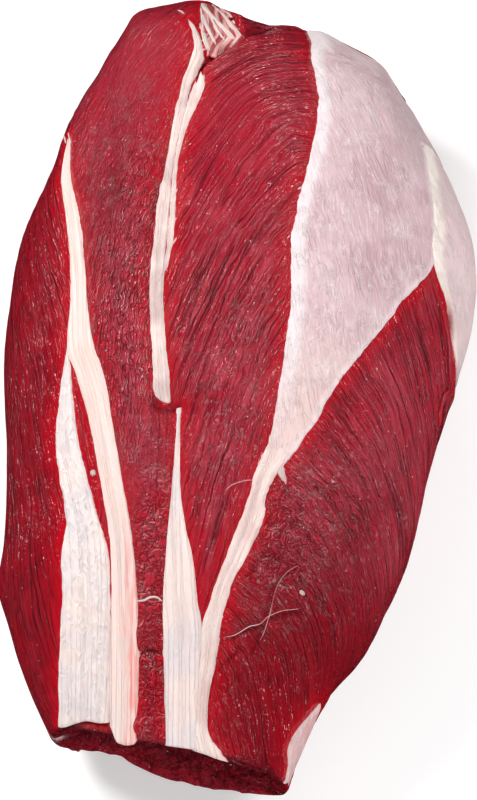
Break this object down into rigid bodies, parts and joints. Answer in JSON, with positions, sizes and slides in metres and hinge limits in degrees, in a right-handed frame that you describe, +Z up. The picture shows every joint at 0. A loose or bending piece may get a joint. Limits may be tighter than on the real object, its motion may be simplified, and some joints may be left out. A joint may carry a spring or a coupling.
{
  "type": "beef shank",
  "caption": "Boneless block of lean shank meat, thick at one end and narrow at the other, with flat tendon straps, a seam of white tissue and silverskin on its top.",
  "frame": {"origin": "middle of the bounding box in plan, in the plane the shank rests on", "axes": "+Y along the muscles from the cut tendon end to the thick far end, +X to the right seen from above with the tendon end near, +Z up"},
  "size_m": [0.1546, 0.269, 0.0808],
  "materials": {
    "lean_meat": "moist deep red muscle",
    "tendon": "moist ivory tendon",
    "seam_tissue": "moist white tissue",
    "silverskin": "moist lilac silverskin",
    "membrane": "moist pale membrane",
    "thin_membrane": "moist thin pink membrane"
  },
  "bodies": {
    "root": {"lean_meat": "lean_meat", "tendon_left": "tendon", "tendon_centre": "tendon", "seam_tissue": "seam_tissue", "silverskin": "silverskin", "flank_membrane": "membrane", "hock_membrane": "thin_membrane"}
  },
  "joints": []
}
